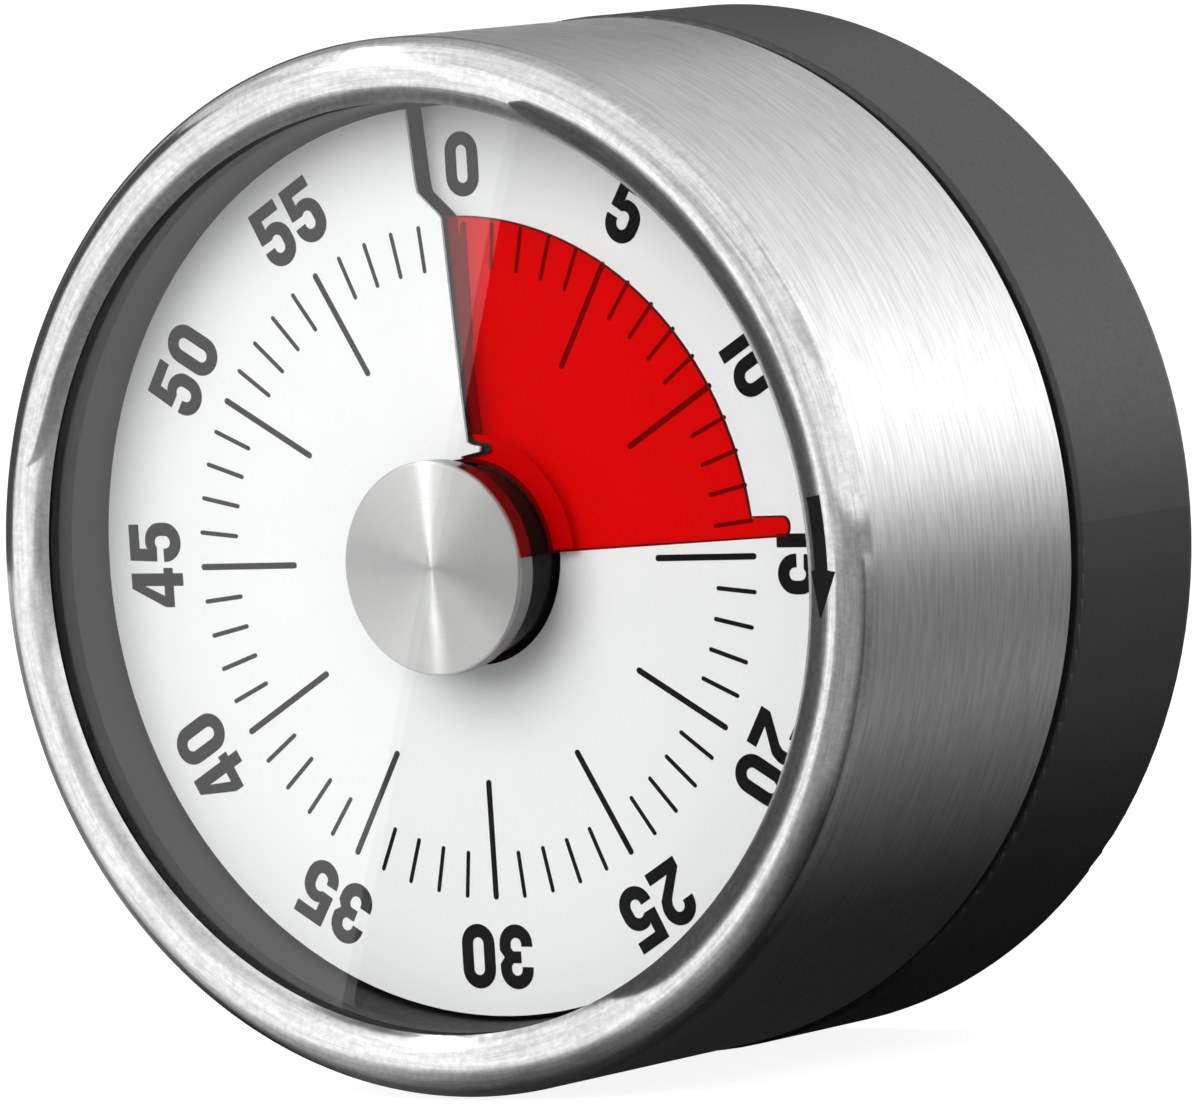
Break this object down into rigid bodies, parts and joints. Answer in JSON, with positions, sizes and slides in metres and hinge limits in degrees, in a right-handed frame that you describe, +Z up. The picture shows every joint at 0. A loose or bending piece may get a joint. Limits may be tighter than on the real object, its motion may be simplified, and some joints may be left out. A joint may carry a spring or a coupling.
{
  "type": "visual countdown timer",
  "caption": "Round wind-up countdown timer: a brushed steel drum turns on a black magnetic base, and a red disc shows the time left on a white dial under a clear lens.",
  "frame": {"origin": "centre of the rear magnet face, on the axis that the drum turns about", "axes": "+Y out of the rear face, so the dial looks toward -Y; +Z up, from the centre toward 0 at 12 o'clock; +X to the right as seen by someone who reads the dial"},
  "size_m": [0.078, 0.045, 0.078],
  "materials": {
    "black_casing": "black moulded plastic with a soft sheen",
    "black_inner": "matt black moulded plastic",
    "gloss_black": "glossy black moulded plastic",
    "ferrite": "dull dark grey sintered ferrite",
    "brushed_steel": "stainless steel, brushed round the drum",
    "turned_steel": "stainless steel, turned face and polished side",
    "clear_lens": "clear polished plastic",
    "white_sheet": "white plastic sheet with black print",
    "red_sheet": "translucent red plastic sheet",
    "brass": "stamped and turned brass",
    "shaft_steel": "turned steel",
    "spring_steel": "blued spring steel",
    "screw_steel": "nickel-plated screw",
    "bell_nickel": "spun steel, nickel plated"
  },
  "bodies": {
    "base": {"rear_housing": "black_casing", "magnet": "ferrite", "bearing_sleeve": "black_inner", "case_screws": "screw_steel", "dial_pan": "black_inner", "pan_screws": "screw_steel", "dial": "white_sheet", "back_plate": "brass", "front_plate": "brass", "plate_pillars": "brass", "pillar_rear_screws": "screw_steel", "pillar_front_screws": "screw_steel", "plate_screws": "screw_steel", "stop_post": "shaft_steel", "mainspring": "spring_steel", "spring_post": "shaft_steel", "hairspring": "spring_steel", "hairspring_stud": "brass", "bell": "bell_nickel", "bell_post": "shaft_steel", "bell_screw": "screw_steel"},
    "setting_ring": {"steel_drum": "brushed_steel", "drum_liner": "black_inner", "dial_surround": "black_inner", "lens": "clear_lens", "hub_cap": "turned_steel", "hub_core": "gloss_black", "arbor": "shaft_steel", "arbor_collar": "brass", "main_wheel": "brass", "clutch_spring": "spring_steel", "arbor_circlip": "spring_steel", "stop_pin": "shaft_steel"},
    "time_disc": {"red_disc": "red_sheet"},
    "second_arbor": {"second_staff": "shaft_steel", "second_wheel": "brass"},
    "third_arbor": {"third_staff": "shaft_steel", "third_wheel": "brass"},
    "escape_arbor": {"escape_staff": "shaft_steel", "escape_wheel": "brass"},
    "pallet": {"pallet_lever": "shaft_steel", "pallet_staff": "shaft_steel"},
    "balance": {"balance_wheel": "brass", "balance_staff": "shaft_steel"},
    "hammer": {"hammer_staff": "shaft_steel", "hammer_arm": "shaft_steel", "hammer_head": "brass"}
  },
  "joints": [
    {"name": "countdown", "type": "hinge", "parent": "base", "child": "setting_ring", "pos_m": [0, 0, 0], "axis": [0, 1, 0], "range_deg": [-87.5, 266.5]},
    {"name": "disc_creep", "type": "slide", "parent": "setting_ring", "child": "time_disc", "axis": [0, -1, 0], "range_m": [-0.0005, 0.0015]},
    {"name": "second_spin", "type": "hinge", "parent": "base", "child": "second_arbor", "pos_m": [0.01273, 0, -0.01273], "axis": [0, 1, 0], "continuous": true},
    {"name": "third_spin", "type": "hinge", "parent": "base", "child": "third_arbor", "pos_m": [0.00511, 0, -0.01996], "axis": [0, 1, 0], "continuous": true},
    {"name": "escape_spin", "type": "hinge", "parent": "base", "child": "escape_arbor", "pos_m": [-0.00355, 0, -0.02121], "axis": [0, 1, 0], "continuous": true},
    {"name": "balance_swing", "type": "hinge", "parent": "base", "child": "balance", "pos_m": [-0.01633, 0, -0.01399], "axis": [0, 1, 0], "range_deg": [-120, 120], "stiffness_Nm_per_rad": 0.000002},
    {"name": "pallet_rock", "type": "hinge", "parent": "base", "child": "pallet", "pos_m": [-0.01008, 0, -0.01899], "axis": [0, 1, 0], "range_deg": [-6.5, 6.5]},
    {"name": "hammer_strike", "type": "hinge", "parent": "base", "child": "hammer", "pos_m": [-0.0213, 0, 0.0123], "axis": [0, 1, 0], "range_deg": [-12, 0], "stiffness_Nm_per_rad": 0.002, "springref_deg": 11.46}
  ],
  "couplings": [
    {"joint": "disc_creep", "follows": "countdown", "m_per_rad": 0.00031831},
    {"joint": "second_spin", "follows": "countdown", "ratio": -8},
    {"joint": "third_spin", "follows": "countdown", "ratio": 48},
    {"joint": "escape_spin", "follows": "countdown", "ratio": -288},
    {"joint": "pallet_rock", "follows": "balance_swing", "ratio": 0.05}
  ]
}
